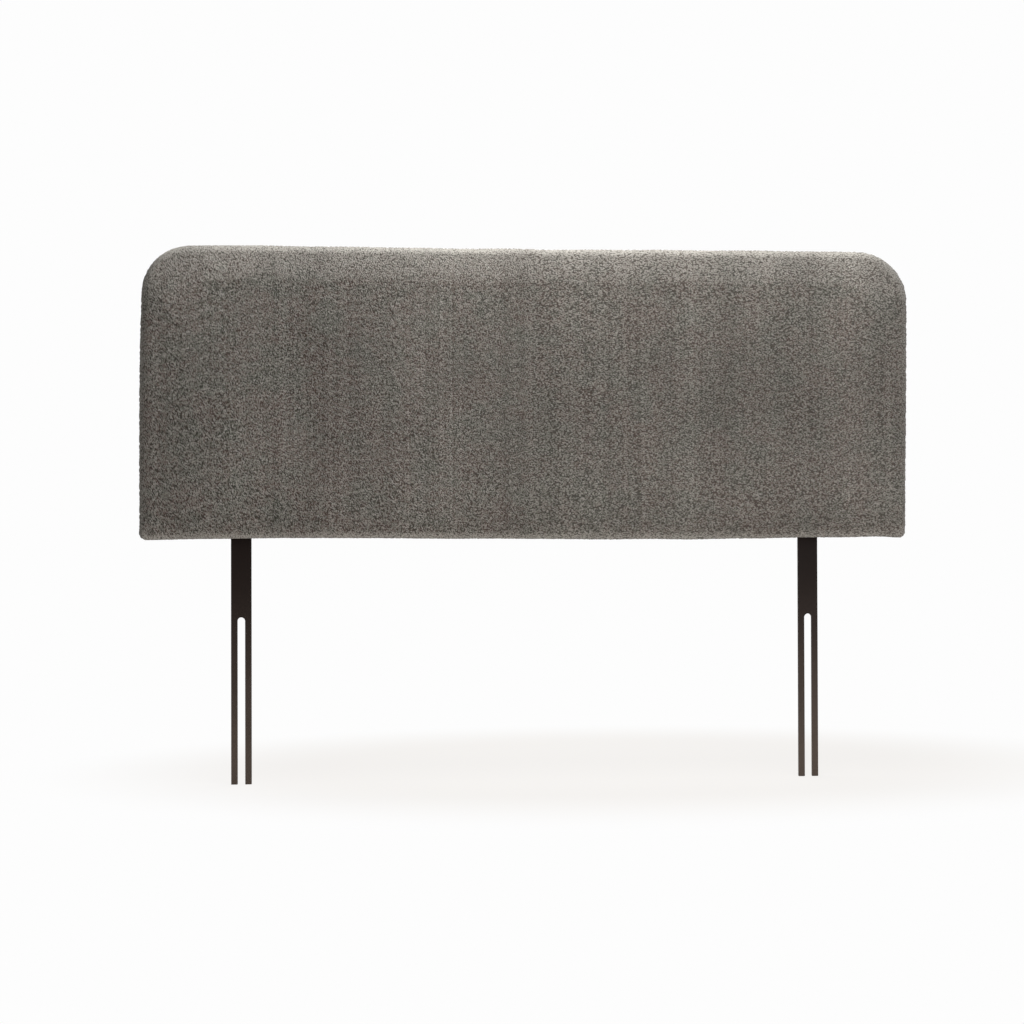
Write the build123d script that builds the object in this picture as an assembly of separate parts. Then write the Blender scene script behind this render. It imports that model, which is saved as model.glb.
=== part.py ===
from build123d import *
from math import cos, pi, radians, sin
import os

# Upholstered headboard on two slotted flat-steel legs.
# A timber frame with rounded top corners carries a thin face board, foam, fibre wadding and a
# looped-pile fabric cover that turns round to the back, where a thin lining hides its raw edge.
# Each leg is bolted to a post of the frame. Below the panel its slot is open at the floor end,
# so that the headboard drops over two bolts in the end of a bed base.
# +X is to the right seen from the bed, +Z is up and the padded face looks towards -Y.
# All sizes are millimetres.

# Overall
panel_width = 1520.0
panel_height = 575.0
ground_clearance = 485.0
top_corner_radius = 100.0
bottom_corner_radius = 10.0

# Upholstery, from the face inwards
cover_thickness = 4.0
wadding_thickness = 3.0
foam_face_thickness = 25.0
foam_edge_thickness = 8.0
roll_radius = 22.0
crown_radius = 400.0
crown_degrees = 8.0
hem_thickness = 1.5
hem_width = 48.0

# Timber frame and face board
board_thickness = 3.0
timber_depth = 32.0
timber_width = 44.0
leg_post_width = 70.0
corner_tongue = 30.0

# Back lining
lining_thickness = 0.8
lining_border = 25.0

# Steel legs
leg_inset = 190.0
leg_width = 40.0
leg_thickness = 5.0
leg_end_radius = 5.0
leg_foot_radius = 1.0
leg_end_margin = 30.0
slot_width = 15.0
slot_length = 330.0
bolt_hole_diameter = 9.0
first_bolt_height = 90.0
bolt_pitch = 85.0
bolt_count = 3

# Leg bolts, washers and tee nuts
bolt_diameter = 8.0
bolt_head_flats = 13.0
bolt_head_height = 5.3
bolt_head_chamfer = 0.8
bolt_tip_chamfer = 1.0
bolt_tip_gap = 2.9
washer_diameter = 17.0
washer_bore = 8.4
washer_thickness = 1.6
spring_washer_diameter = 14.8
spring_washer_bore = 8.2
spring_washer_thickness = 2.0
spring_washer_gap = 1.5
spring_washer_slant_degrees = 25.0
tee_nut_flange_diameter = 22.0
tee_nut_flange_thickness = 1.6
tee_nut_barrel_diameter = 10.0
tee_nut_length = 11.0
tee_nut_prong_width = 4.0
tee_nut_prong_thickness = 1.2
tee_nut_prong_length = 7.0
tee_nut_prong_count = 3

# Frame screws and dowels
screw_diameter = 5.0
screw_head_diameter = 9.6
screw_length = 70.0
screw_point_length = 6.0
dowel_diameter = 8.0
dowel_length = 36.0
dowel_chamfer = 1.0

# Staples
staple_wire = 0.8
staple_crown = 10.0
staple_leg = 9.0
board_staple_leg = 16.0
staple_edge_margin = 8.0
cover_staple_pitch = 60.0
lining_staple_pitch = 70.0
board_staple_pitch = 150.0

# Shares of the piece that carries the fixing
pair_share = 0.25

overrun = 2.0

# Heights above the floor
panel_bottom = ground_clearance
panel_top = panel_bottom + panel_height
side = panel_width / 2

# Layer depths. Before the whole is centred, y = 0 is the back of the timber.
wadding_inset = cover_thickness
foam_inset = wadding_inset + wadding_thickness
frame_inset = foam_inset + foam_edge_thickness
board_front = -(timber_depth + board_thickness)
face_front = board_front - foam_face_thickness - foam_inset
post_depth = timber_depth + hem_thickness
leg_front = hem_thickness + lining_thickness
leg_back = leg_front + leg_thickness
washer_back = leg_back + washer_thickness
head_seat = washer_back + spring_washer_thickness
rear_most = head_seat + bolt_head_height
bolt_length = head_seat + timber_depth - bolt_tip_gap
centring = Pos(0, -(face_front + rear_most) / 2, 0)

# Frame outline
frame_side = side - frame_inset
frame_top = panel_top - frame_inset
frame_bottom = panel_bottom + foam_inset
frame_corner_radius = top_corner_radius - frame_inset
corner_size = frame_corner_radius + corner_tongue

# Legs and their bolts
leg_centre = side - leg_inset
bolt_heights = [panel_bottom + first_bolt_height + bolt_pitch * i for i in range(bolt_count)]
leg_top = bolt_heights[-1] + leg_end_margin


def slab(face, y_from, y_to):
    """A face drawn in x and z, made solid between two depths."""
    plane = Plane(origin=(0, y_to, 0), x_dir=(1, 0, 0), z_dir=(0, -1, 0))
    return extrude(plane * face, amount=y_to - y_from)


def block(x_from, x_to, y_from, y_to, z_from, z_to):
    """A plain block between three pairs of planes."""
    size = (x_to - x_from, y_to - y_from, z_to - z_from)
    centre = ((x_from + x_to) / 2, (y_from + y_to) / 2, (z_from + z_to) / 2)
    return Pos(*centre) * Box(*size)


def rod(radius, length, x, y, z, direction):
    """A cylinder that starts at a point and runs along a direction."""
    return extrude(Plane(origin=(x, y, z), z_dir=direction) * Circle(radius), amount=length)


def mirrored(shape):
    return mirror(shape, about=Plane.YZ)


# Padded form. Its rim has one section all round: the straight edge of the panel, a small roll,
# a long crown arc tangent to it, and the flat face. The section runs along the straight edges,
# turns about the centres of the top corners and meets itself in mitres at the bottom corners.
# An inset moves each line and arc inwards by the same amount, so one form nests in the next.
crown_angle = radians(crown_degrees)
flat_from = roll_radius * (1 - sin(crown_angle)) + crown_radius * sin(crown_angle)
roll_centre_depth = (
    face_front + crown_radius * (1 - cos(crown_angle)) + roll_radius * cos(crown_angle)
)


def rim_section(inset, back):
    """The rim's section: x is the way in from the panel's edge, y is the depth."""
    roll = roll_radius - inset
    crown = crown_radius - inset
    front = face_front + inset
    edge = (inset, roll_centre_depth)
    roll_turn = (pi / 2 + crown_angle) / 2
    roll_middle = (
        roll_radius - roll * sin(roll_turn),
        roll_centre_depth - roll * cos(roll_turn),
    )
    join = (
        roll_radius - roll * sin(crown_angle),
        roll_centre_depth - roll * cos(crown_angle),
    )
    crown_middle = (
        flat_from - crown * sin(crown_angle / 2),
        front + crown * (1 - cos(crown_angle / 2)),
    )
    flat = (flat_from, front)
    return make_face(
        [
            Line((inset, back), edge),
            ThreePointArc(edge, roll_middle, join),
            ThreePointArc(join, crown_middle, flat),
            Line(flat, (top_corner_radius, front)),
            Line((top_corner_radius, front), (top_corner_radius, back)),
            Line((top_corner_radius, back), (inset, back)),
        ]
    )


def mitred(run, across):
    """Trims a rim run that ends at a bottom corner to the 45 degree line through that corner."""
    reach = panel_width if across else panel_height
    corner = (-side, panel_bottom)
    if across:
        far = (side, panel_bottom)
        wedge = Polygon(corner, far, (0, panel_bottom + side), align=None)
    else:
        wedge = Polygon(
            corner,
            (-side + reach, panel_bottom + reach),
            (-side, panel_bottom + reach),
            align=None,
        )
    return run & slab(wedge, face_front - overrun, rear_most)


def padded_form(inset, back):
    """The whole padded shape, drawn in by an inset, from its crowned face to a flat back."""
    section = rim_section(inset, back)
    corner_height = panel_top - top_corner_radius
    corner_across = side - top_corner_radius
    left_plane = Plane(origin=(-side, 0, panel_bottom), x_dir=(1, 0, 0), z_dir=(0, 0, 1))
    turn_plane = Plane(origin=(-side, 0, corner_height), x_dir=(1, 0, 0), z_dir=(0, 0, 1))
    top_plane = Plane(origin=(-corner_across, 0, panel_top), x_dir=(0, 0, -1), z_dir=(1, 0, 0))
    base_plane = Plane(origin=(side, 0, panel_bottom), x_dir=(0, 0, 1), z_dir=(-1, 0, 0))
    left = mitred(extrude(left_plane * section, amount=corner_height - panel_bottom), False)
    turn_axis = Axis((-corner_across, 0, corner_height), (0, 1, 0))
    turn = revolve(turn_plane * section, axis=turn_axis, revolution_arc=90)
    top = extrude(top_plane * section, amount=2 * corner_across)
    base = mitred(extrude(base_plane * section, amount=panel_width), True)
    core = block(
        -corner_across,
        corner_across,
        face_front + inset,
        back,
        panel_bottom + top_corner_radius,
        corner_height,
    )
    form = core + [left, mirrored(left), turn, mirrored(turn), top, base]
    if bottom_corner_radius > inset:
        form = form - [corner_waste(inset, back), mirrored(corner_waste(inset, back))]
    return form.clean()


def corner_waste(inset, back):
    """What is trimmed off the lower left corner so that it turns on its small radius."""
    radius = bottom_corner_radius - inset
    square = Pos(-side + bottom_corner_radius, panel_bottom + bottom_corner_radius) * (
        Rectangle(bottom_corner_radius, bottom_corner_radius, align=(Align.MAX, Align.MAX))
        - Circle(radius)
    )
    return slab(square, face_front - overrun, back + overrun)


def outline_face(inset, base_inset):
    """The panel's outline as a face in x and z, drawn in at the sides and top, and at the base."""
    half = side - inset
    top = panel_top - inset
    base = panel_bottom + base_inset
    radius = top_corner_radius - inset
    bend = radius * (1 - cos(pi / 4))
    left_arc = ThreePointArc((-half, top - radius), (-half + bend, top - bend), (-half + radius, top))
    right_arc = ThreePointArc((half - radius, top), (half - bend, top - bend), (half, top - radius))
    return make_face(
        [
            Line((-half, base), (-half, top - radius)),
            left_arc,
            Line((-half + radius, top), (half - radius, top)),
            right_arc,
            Line((half, top - radius), (half, base)),
            Line((half, base), (-half, base)),
        ]
    )


# Upholstery
def make_cover():
    """The fabric: a skin over the wadding whose margin turns onto the back of the frame."""
    outer = padded_form(0, hem_thickness)
    rear_edges = outer.faces().sort_by(Axis.Y)[-1].outer_wire().edges()
    outer = fillet(rear_edges, cover_thickness)
    window = slab(outline_face(hem_width, hem_width), -overrun, hem_thickness + overrun)
    return outer - padded_form(wadding_inset, 0) - window


def make_wadding():
    return padded_form(wadding_inset, 0) - padded_form(foam_inset, 0)


def make_foam():
    """The face slab, and the strip glued round the sides and top of the frame."""
    form = padded_form(foam_inset, 0)
    frame = slab(outline_face(frame_inset, foam_inset), board_front, overrun)
    in_front = block(-side, side, face_front, board_front, panel_bottom, panel_top)
    face_slab = form & in_front
    edge_strip = form - in_front - frame
    return face_slab, edge_strip


# Frame
def bolt_places(x):
    return [(x, z) for z in bolt_heights]


def screw_places():
    """Where a screw runs up or down through a rail: x, and which rail it is in."""
    stile_centre = frame_side - timber_width / 2
    posts = [(-leg_centre, leg_post_width), (0, timber_width), (leg_centre, leg_post_width)]
    stiles = [(-stile_centre, timber_width), (stile_centre, timber_width)]
    return [
        (centre + sign * width * pair_share, rail)
        for members, rail in ((posts + stiles, "base"), (posts, "top"))
        for centre, width in members
        for sign in (-1, 1)
    ]


def wood_screw(x, rail, point):
    """A countersunk screw, flush with the outside of its rail and pointing to the middle.

    The point is its tapered length: with none, this is the hole that the screw sits in.
    """
    up = 1 if rail == "base" else -1
    start = frame_bottom if rail == "base" else frame_top
    head = screw_head_diameter / 2
    shank = screw_diameter / 2
    profile = make_face(
        Polyline(
            (0, 0),
            (head, 0),
            (shank, head - shank),
            (shank, screw_length - point),
            (0, screw_length),
            close=True,
        )
    )
    plane = Plane(origin=(x, -timber_depth / 2, start), x_dir=(1, 0, 0), z_dir=(0, -up, 0))
    axis = Axis((x, -timber_depth / 2, start), (0, 0, up))
    return revolve(plane * profile, axis=axis)


def dowel_places():
    """Where each corner block is dowelled: to its rail along x, and to its stile along z."""
    rail_end = frame_side - corner_size
    stile_end = frame_top - corner_size
    spread = timber_width * pair_share
    places = []
    for sign in (-1, 1):
        for offset in (-spread, spread):
            middle = timber_width / 2 + offset
            places.append(((sign * rail_end, frame_top - middle), (1, 0, 0)))
            places.append(((sign * (frame_side - middle), stile_end), (0, 0, 1)))
    return places


def dowel_hole(place, direction):
    """A straight hole, half in each of the two pieces that the dowel joins."""
    x, z = place
    dx, _, dz = direction
    start = (x - dx * dowel_length / 2, -timber_depth / 2, z - dz * dowel_length / 2)
    return rod(dowel_diameter / 2, dowel_length, *start, direction)


def dowel(place, direction):
    """A dowel that fills its hole, chamfered at both ends."""
    pin = dowel_hole(place, direction)
    return chamfer(pin.edges().filter_by(GeomType.CIRCLE), dowel_chamfer)


def post_holes(x):
    """What the tee nuts and bolts take out of a leg post."""
    holes = []
    for _, z in bolt_places(x):
        holes += [
            rod(tee_nut_flange_diameter / 2, tee_nut_flange_thickness, x, -timber_depth, z, (0, 1, 0)),
            rod(tee_nut_barrel_diameter / 2, tee_nut_length, x, -timber_depth, z, (0, 1, 0)),
            rod(bolt_hole_diameter / 2, post_depth + overrun, x, -timber_depth, z, (0, 1, 0)),
        ]
    return holes


def make_frame():
    """Rails, stiles, rounded corner blocks, a centre post and two leg posts.

    The leg posts stand proud by the thickness of the turned fabric, so the legs clamp on wood.
    """
    inner_bottom = frame_bottom + timber_width
    inner_top = frame_top - timber_width
    rail_end = frame_side - corner_size
    stile_end = frame_top - corner_size
    ring = outline_face(frame_inset, foam_inset) - outline_face(
        frame_inset + timber_width, foam_inset + timber_width
    )
    corner_zone = block(-frame_side, -rail_end, -timber_depth, 0, stile_end, frame_top)
    corner = slab(ring, -timber_depth, 0) & corner_zone
    stile = block(-frame_side, -frame_side + timber_width, -timber_depth, 0, inner_bottom, stile_end)
    post_half = leg_post_width / 2
    post_from = -leg_centre - post_half
    post_to = -leg_centre + post_half
    left_post = block(post_from, post_to, -timber_depth, hem_thickness, inner_bottom, inner_top)
    centre_half = timber_width / 2
    pieces = {
        "bottom_rail": block(-frame_side, frame_side, -timber_depth, 0, frame_bottom, inner_bottom),
        "top_rail": block(-rail_end, rail_end, -timber_depth, 0, inner_top, frame_top),
        "left_stile": stile,
        "right_stile": mirrored(stile),
        "left_corner_block": corner,
        "right_corner_block": mirrored(corner),
        "left_leg_post": left_post - post_holes(-leg_centre),
        "right_leg_post": mirrored(left_post) - post_holes(leg_centre),
        "centre_post": block(-centre_half, centre_half, -timber_depth, 0, inner_bottom, inner_top),
    }
    holes = [wood_screw(x, rail, 0) for x, rail in screw_places()]
    holes += [dowel_hole(place, direction) for place, direction in dowel_places()]
    for name, piece in pieces.items():
        box = piece.bounding_box()
        near = [hole for hole in holes if box.overlaps(hole.bounding_box())]
        pieces[name] = piece - near if near else piece
    return pieces


# Back lining
def make_lining():
    sheet = slab(outline_face(lining_border, lining_border), hem_thickness, leg_front)
    holes = [
        rod(bolt_diameter / 2, lining_thickness + 2 * overrun, x, hem_thickness - overrun, z, (0, 1, 0))
        for sign in (-1, 1)
        for x, z in bolt_places(sign * leg_centre)
    ]
    return sheet - holes


# Legs
def make_leg(x):
    """A flat bar with rounded upper corners, three bolt holes and a slot open at the floor."""
    bar = Pos(x, 0) * Rectangle(leg_width, leg_top, align=(Align.CENTER, Align.MIN))
    bar = fillet(bar.vertices().group_by(Axis.Y)[-1], leg_end_radius)
    seat = slot_length - slot_width / 2
    slot = Pos(x, 0) * Rectangle(slot_width, seat, align=(Align.CENTER, Align.MIN))
    slot = slot + Pos(x, seat) * Circle(slot_width / 2)
    bar = bar - slot
    bar = fillet(bar.vertices().group_by(Axis.Y)[0], leg_foot_radius)
    for hole_x, hole_z in bolt_places(x):
        bar = bar - Pos(hole_x, hole_z) * Circle(bolt_hole_diameter / 2)
    return slab(bar, leg_front, leg_back)


def leg_bolt(x, z):
    """A hexagon-head set screw, its head chamfered on top and its tip chamfered."""
    plane = Plane(origin=(x, head_seat, z), z_dir=(0, 1, 0))
    hexagon = RegularPolygon(bolt_head_flats / 2, 6, major_radius=False)
    head = extrude(plane * hexagon, amount=bolt_head_height)
    top_radius = bolt_head_flats / 2
    dome = make_face(
        Polyline(
            (0, 0),
            (top_radius + bolt_head_height, 0),
            (top_radius + bolt_head_chamfer, bolt_head_height - bolt_head_chamfer / 2),
            (top_radius, bolt_head_height),
            (0, bolt_head_height),
            close=True,
        )
    )
    cone_plane = Plane(origin=(x, head_seat, z), x_dir=(1, 0, 0), z_dir=(0, 0, 1))
    head = head & revolve(cone_plane * dome, axis=Axis((x, head_seat, z), (0, 1, 0)))
    shank = rod(bolt_diameter / 2, bolt_length, x, head_seat, z, (0, -1, 0))
    shank = chamfer(shank.edges().sort_by(Axis.Y)[0], bolt_tip_chamfer)
    return head + shank


def flat_washer(x, z):
    plane = Plane(origin=(x, leg_back, z), z_dir=(0, 1, 0))
    ring = Circle(washer_diameter / 2) - Circle(washer_bore / 2)
    return extrude(plane * ring, amount=washer_thickness)


def spring_washer(x, z):
    """A split ring pressed flat, its slanting gap at the top."""
    plane = Plane(origin=(x, washer_back, z), z_dir=(0, 1, 0))
    ring = Circle(spring_washer_diameter / 2) - Circle(spring_washer_bore / 2)
    ring = extrude(plane * ring, amount=spring_washer_thickness)
    upwards = (Align.CENTER, Align.CENTER, Align.MIN)
    gap = Box(spring_washer_gap, spring_washer_diameter, spring_washer_diameter, align=upwards)
    middle = (x, washer_back + spring_washer_thickness / 2, z)
    return ring - Pos(*middle) * Rot(0, 0, spring_washer_slant_degrees) * gap


def tee_nut(x, z):
    """A threaded barrel on a round flange, with prongs bent back into the post."""
    barrel = rod(tee_nut_barrel_diameter / 2, tee_nut_length, x, -timber_depth, z, (0, 1, 0))
    flange = rod(tee_nut_flange_diameter / 2, tee_nut_flange_thickness, x, -timber_depth, z, (0, 1, 0))
    bore = rod(bolt_diameter / 2, tee_nut_length + overrun, x, -timber_depth - overrun, z, (0, 1, 0))
    prong_face = Polygon(
        (-tee_nut_prong_width / 2, 0),
        (tee_nut_prong_width / 2, 0),
        (0, tee_nut_prong_length),
        align=None,
    )
    prong_reach = tee_nut_flange_diameter / 2 - tee_nut_prong_thickness
    nut = barrel + flange
    for i in range(tee_nut_prong_count):
        seat = Pos(x, -timber_depth + tee_nut_flange_thickness, z)
        prong = extrude(prong_face, amount=tee_nut_prong_thickness)
        nut = nut + seat * Rot(0, 360 / tee_nut_prong_count * i, 0) * Pos(0, 0, prong_reach) * prong
    return nut - bore


# Staples
def staple(x, z, turn, face, leg, inwards):
    """A wire staple with its crown just under a face, turned about y, its legs going inwards."""
    wire = staple_wire
    crown = Box(staple_crown, wire, wire)
    reach = (staple_crown - wire) / 2
    leg_body = Pos(0, inwards * (leg - wire) / 2, 0) * Box(wire, leg, wire)
    body = crown + Pos(-reach, 0, 0) * leg_body + Pos(reach, 0, 0) * leg_body
    return Pos(x, face + inwards * wire / 2, z) * Rot(0, turn, 0) * body


def border_places(inset, base_inset, pitch):
    """Evenly spaced places round the panel: x, z and the turn that follows the edge."""
    half = side - inset
    top = panel_top - inset
    base = panel_bottom + base_inset
    radius = top_corner_radius - inset
    places = []
    run = 2 * (half - radius)
    count = max(1, round(run / pitch))
    places += [(-run / 2 + run * (i + 0.5) / count, top, 0) for i in range(count)]
    height = top - radius - base
    rows = max(1, round(height / pitch))
    for sign in (-1, 1):
        places += [(sign * half, base + height * (i + 0.5) / rows, 90) for i in range(rows)]
    turns = max(1, round(radius * pi / 2 / pitch))
    for sign in (-1, 1):
        for i in range(turns):
            angle = pi / 2 * (i + 0.5) / turns
            x = sign * (half - radius + radius * sin(angle))
            places.append((x, top - radius + radius * cos(angle), sign * angle * 180 / pi))
    width = 2 * half
    columns = max(1, round(width / pitch))
    places += [(-half + width * (i + 0.5) / columns, base, 0) for i in range(columns)]
    return places


def clear_of_legs(places):
    """Leaves out the places that a leg covers."""
    reach = (leg_width + staple_crown) / 2 + overrun
    covered = [p for p in places if p[1] < leg_top and abs(abs(p[0]) - leg_centre) < reach]
    return [p for p in places if p not in covered]


def make_staples():
    hem_line = hem_width - staple_edge_margin
    lining_line = lining_border + staple_edge_margin
    board_line = frame_inset + timber_width / 2
    board_base_line = foam_inset + timber_width / 2
    cover = [
        staple(x, z, turn, hem_thickness, staple_leg, -1)
        for x, z, turn in border_places(hem_line, hem_line, cover_staple_pitch)
    ]
    lining_places = border_places(lining_line, lining_line, lining_staple_pitch)
    lining = [
        staple(x, z, turn, leg_front + staple_wire, staple_leg, -1)
        for x, z, turn in clear_of_legs(lining_places)
    ]
    board = [
        staple(x, z, turn, board_front, board_staple_leg, 1)
        for x, z, turn in border_places(board_line, board_base_line, board_staple_pitch)
    ]
    return Compound(cover), Compound(lining), Compound(board)


def build():
    """Every separate piece, by the name of its node."""
    screws = [wood_screw(x, rail, screw_point_length) for x, rail in screw_places()]
    dowels = [dowel(place, direction) for place, direction in dowel_places()]
    parts = make_frame()
    foam_face, foam_edge = make_foam()
    cover_staples, lining_staples, board_staples = make_staples()
    parts |= {
        "fabric_cover": make_cover(),
        "fibre_wadding": make_wadding(),
        "foam_face": foam_face,
        "foam_edge_strip": foam_edge,
        "face_board": slab(outline_face(frame_inset, foam_inset), board_front, -timber_depth),
        "back_lining": make_lining(),
        "frame_screws": Compound(screws),
        "corner_dowels": Compound(dowels),
        "cover_staples": cover_staples,
        "lining_staples": lining_staples,
        "board_staples": board_staples,
    }
    for name, x in (("left", -leg_centre), ("right", leg_centre)):
        places = bolt_places(x)
        parts[f"{name}_leg"] = make_leg(x)
        parts[f"{name}_leg_bolts"] = Compound([leg_bolt(*p) for p in places])
        parts[f"{name}_flat_washers"] = Compound([flat_washer(*p) for p in places])
        parts[f"{name}_spring_washers"] = Compound([spring_washer(*p) for p in places])
        parts[f"{name}_tee_nuts"] = Compound([tee_nut(*p) for p in places])
    return parts


os.makedirs("parts", exist_ok=True)
for node, shape in build().items():
    export_step(centring * shape, f"parts/{node}.step")
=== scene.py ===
import math

import bpy
import numpy as np
from bpy.props import FloatProperty, FloatVectorProperty, IntProperty, PointerProperty
from mathutils import Matrix, Vector


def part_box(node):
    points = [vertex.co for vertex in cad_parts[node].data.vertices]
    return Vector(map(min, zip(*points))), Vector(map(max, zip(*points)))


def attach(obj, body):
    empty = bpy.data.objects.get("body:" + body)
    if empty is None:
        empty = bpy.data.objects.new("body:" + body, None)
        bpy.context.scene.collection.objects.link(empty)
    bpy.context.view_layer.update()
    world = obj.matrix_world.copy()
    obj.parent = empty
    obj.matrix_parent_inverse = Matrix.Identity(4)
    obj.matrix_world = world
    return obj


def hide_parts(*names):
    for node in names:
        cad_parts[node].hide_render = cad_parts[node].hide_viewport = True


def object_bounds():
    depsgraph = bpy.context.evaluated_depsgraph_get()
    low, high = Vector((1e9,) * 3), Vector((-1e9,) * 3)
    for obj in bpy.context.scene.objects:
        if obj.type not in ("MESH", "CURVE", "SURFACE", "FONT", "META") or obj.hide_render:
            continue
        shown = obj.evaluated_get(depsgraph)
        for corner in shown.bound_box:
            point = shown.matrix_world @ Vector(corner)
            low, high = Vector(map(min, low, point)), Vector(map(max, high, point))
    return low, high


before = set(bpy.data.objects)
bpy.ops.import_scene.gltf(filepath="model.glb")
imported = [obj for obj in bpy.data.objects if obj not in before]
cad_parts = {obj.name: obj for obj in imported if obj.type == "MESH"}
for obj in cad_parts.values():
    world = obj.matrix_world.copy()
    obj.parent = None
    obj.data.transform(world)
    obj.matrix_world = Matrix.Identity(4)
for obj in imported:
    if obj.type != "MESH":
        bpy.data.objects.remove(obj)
CAD_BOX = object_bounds()
COVER_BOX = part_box("fabric_cover")
LINING_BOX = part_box("back_lining")

bl_info = {
    "name": "Upholstered headboard",
    "version": (1, 0, 0),
    "blender": (4, 5, 0),
    "location": "View3D > Sidebar > Headboard",
    "description": "Dresses a padded headboard on slotted steel legs in looped fabric",
    "category": "Object",
}

BODY = "headboard"
QUARTER = math.pi / 2

# Sizes in metres that the timber, the legs and the staples fix
TOP_RADIUS = 0.100  # the panel's upper corners
LINING_INSET = 0.025  # from the panel's outline to the lining
STAPLE_INSET = 0.033  # from the panel's outline to the lining's staples
LEG_CENTRE, LEG_TOP = 0.570, 0.79
LEG_HALF, SLOT_HALF, SLOT_TOP = 0.0200, 0.0075, 0.33  # half widths, and the slot's upper end
BAY_START, BAY_WIDTH, BAY_EDGE = 0.035, 0.500, 0.525  # between the centre post and a leg post

# Sizes in metres of the meshes
FLAT_MARGIN = 0.0014  # flat strip between the crown and the filled face
BASE_ARC = 0.016  # half a lower corner, measured along the cover
ROLLED_DEPTH = 0.030  # depth that the crown, the roll and the back edge take up
SMALLEST_BEND = 0.0004  # inside radius that is left where the fabric turns on to the back
THINNEST = 0.0002  # fabric that is left in the deepest gap

# The cover laid out flat for baked pictures
MAP_WIDTH, MAP_HEIGHT, MAP_GAP = 1.368, 0.423, 0.012
MAP_SIDE, MAP_EDGE, MAP_OF_LAST = 1.40, 0.006, 0.2


# Kinds of property; named gives each its name
def number(description, default, low=0.0, **more):
    return FloatProperty(description=description, default=default, min=low, **more)


def length(description, default):
    return number(description, default, precision=5, unit="LENGTH")


def turned(description, degrees):
    return number(description, math.radians(degrees), -math.pi, max=math.pi,
                  subtype="ANGLE", unit="ROTATION")


def tint(description, default):
    return FloatVectorProperty(description=description, default=default, size=3,
                               min=0.0, max=1.0, subtype="COLOR")


def colour(where, *screen):
    """A colour written as 0 to 255 on screen, kept as the linear values that shaders use."""
    values = np.array(screen) / 255.0
    low, high = values / 12.92, ((values + 0.055) / 1.055) ** 2.4
    return tint(f"Colour {where}", np.where(values <= 0.04045, low, high).tolist())


def named(group):
    """Names each property of a group after its key."""
    for key, each in group.__annotations__.items():
        each.keywords["name"] = key.replace("_", " ").capitalize()
    return group


# Sizes and colours that a user changes
@named
class HEADBOARD_PG_cover(bpy.types.PropertyGroup):
    """The padded panel's form and its looped fabric."""

    top_radius: length("Radius of the upper corners", TOP_RADIUS)
    base_radius: length("Radius of the lower corners", 0.010)
    crown_radius: length("Radius of the curve between face and roll", 0.400)
    crown_turn: turned("Angle that the crown turns through", 8)
    roll_radius: length("Radius of the soft edge round the face", 0.022)
    back_radius: length("Radius where the fabric turns back", 0.004)
    thickness: length("Thickness of the fabric", 0.004)
    hem_thickness: length("Thickness of the pressed hem", 0.0015)
    hem_width: length("Width of the fabric on the back", 0.048)
    loop_pitch: length("Distance between the large loops", 0.0039)
    loop_height: length("Height of a large loop", 0.0018)
    curl_pitch: length("Distance between the small curls", 0.0026)
    curl_height: length("Height of a small curl", 0.0010)
    stretch: number("Length of a loop over its width", 1.6, 1.0, max=4.0)
    stray_height: length("Height of the stray curls on the sides", 0.0016)
    lean_left: turned("Angle of the loops at the left edge", -36)
    lean_right: turned("Angle of the loops from the middle on", 3)
    brushed: number("Blend of the yarn's colours at the right", 0.30, max=1.0)
    repeat: length("Height after which loops come again", 0.0312)
    drawn: length("How far the fabric is drawn in round the roll", 0.0012)
    belly: length("How far the padding swells the face", 0.0060)
    deepest: length("Depth of the gaps between the loops", 0.0026)
    swell: length("Height of the padding's slow rise and fall", 0.0006)
    base_wave: length("Height of the lower edge's wave", 0.0025)
    wave_length: length("Length of that wave", 1.304)
    wave_start: length("Where that wave crosses its middle", 0.538)
    base_sag: length("Sag of the whole lower edge", 0.0009)
    corner_drop: length("Drop of the lower right corner", 0.0024)
    low_press: length("How far the right side is drawn in at the base", 0.0053)
    low_spread: length("Height over which that fades", 0.200)
    corner_press: length("How far the upper left corner is drawn in", 0.0050)
    corner_spread: length("Distance over which that fades", 0.100)
    top_press: length("How far the middle of the top is drawn in", 0.0022)
    top_spread: length("Distance over which that fades", 0.450)
    squash: length("How far the wadding gives", 0.0027)
    wadding: length("Thickness of the fibre layer", 0.003)
    pleat_height: length("Height of the pleats on the back", 0.0022)
    pleats: IntProperty(description="Pleats at each upper corner", default=9, min=0, max=30)
    step: length("Distance between mesh points on the face", 0.0015)
    wadding_step: length("The same on the wadding", 0.008)
    # Pale yarn on the loops' tops, partly real pale strands and partly painted highlight
    pale_yarn_and_highlight: colour("of the loops' tips", 187, 182, 175)
    grey_yarn: colour("of most of the yarn", 96, 92, 86)
    green_yarn: colour("of the cooler strands", 86, 88, 80)
    brown_yarn: colour("of the warmer strands", 100, 85, 79)
    # Painted shade between the loops
    ground: colour("deep between the loops", 23, 21, 20)
    blend: colour("of the yarn brushed flat", 108, 104, 98)


@named
class HEADBOARD_PG_lining(bpy.types.PropertyGroup):
    """The thin cloth on the back."""

    thickness: length("Thickness of the lining cloth", 0.0004)
    fold: length("Width of the edge turned under", 0.012)
    corner: length("Radius of the lining's lower corners", 0.004)
    sag: length("Sag of the cloth between the timbers", 0.0022)
    pucker: length("Height of the folds between the staples", 0.0014)
    staple_pitch: length("Distance between the staples", 0.070)
    step: length("Distance between mesh points", 0.006)
    cloth: colour("of the lining", 33, 32, 33)
    fibre: colour("of the lining's pressed fibres", 58, 57, 58)


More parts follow.
